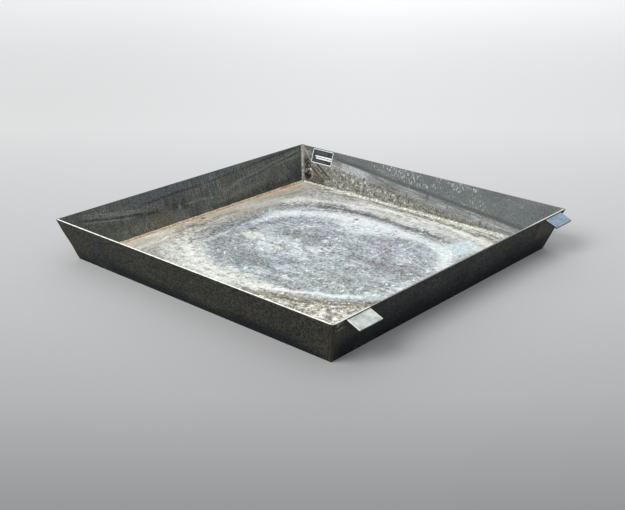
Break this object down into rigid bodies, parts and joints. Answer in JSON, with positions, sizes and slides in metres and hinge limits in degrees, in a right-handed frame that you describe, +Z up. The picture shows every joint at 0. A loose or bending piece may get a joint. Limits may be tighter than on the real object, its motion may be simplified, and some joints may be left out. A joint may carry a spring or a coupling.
{
  "type": "oil drain pan",
  "caption": "Square welded steel oil drain pan with flared plate walls, two rim tabs, a data label and a threaded corner drain closed by a screw plug.",
  "frame": {"origin": "centre of the underside of the floor plate, on the surface that the pan rests on", "axes": "+Z up; the wall with the two tabs faces -Y; the wall with the drain and the data label faces +X"},
  "size_m": [1.2214, 1.264, 0.144],
  "materials": {
    "floor_steel": "bare steel plate with pale dried oxide rings",
    "wall_steel": "weathered dark steel plate, streaked inside, near black outside",
    "weld_steel": "rippled weld bead with light rust",
    "tab_steel": "pale bright flat bar",
    "fitting_steel": "forged steel fitting, lightly oiled",
    "plug_steel": "zinc plated turned steel, dulled",
    "washer_copper": "flat soft copper ring",
    "label_foil": "printed foil label, dark blocks with pale border, no lettering"
  },
  "bodies": {
    "pan": {"back_wall": "wall_steel", "coupling_weld_inner": "weld_steel", "coupling_weld_outer": "weld_steel", "data_label": "label_foil", "drain_coupling": "fitting_steel", "floor_plate": "floor_steel", "floor_seam_weld_back": "weld_steel", "floor_seam_weld_front": "weld_steel", "floor_seam_weld_left": "weld_steel", "floor_seam_weld_right": "weld_steel", "front_wall": "wall_steel", "inner_corner_weld_back_left": "weld_steel", "inner_corner_weld_back_right": "weld_steel", "inner_corner_weld_front_left": "weld_steel", "inner_corner_weld_front_right": "weld_steel", "left_wall": "wall_steel", "lifting_tab_left": "tab_steel", "lifting_tab_right": "tab_steel", "outer_corner_weld_back_left": "weld_steel", "outer_corner_weld_back_right": "weld_steel", "outer_corner_weld_front_left": "weld_steel", "outer_corner_weld_front_right": "weld_steel", "right_wall": "wall_steel", "tab_weld_left": "weld_steel", "tab_weld_right": "weld_steel"},
    "washer": {"plug_washer": "washer_copper"},
    "plug": {"drain_plug": "plug_steel"}
  },
  "joints": [
    {"name": "plug_travel", "type": "slide", "parent": "pan", "child": "washer", "axis": [0.9483, 0, -0.3173], "range_m": [0, 0.019]},
    {"name": "plug_turn", "type": "hinge", "parent": "washer", "child": "plug", "pos_m": [0.59177, 0.536, 0.02797], "axis": [0.9483, 0, -0.3173], "range_deg": [0, 3097]}
  ],
  "couplings": [
    {"joint": "plug_turn", "follows": "plug_travel", "rad_per_m": 2844.7}
  ]
}
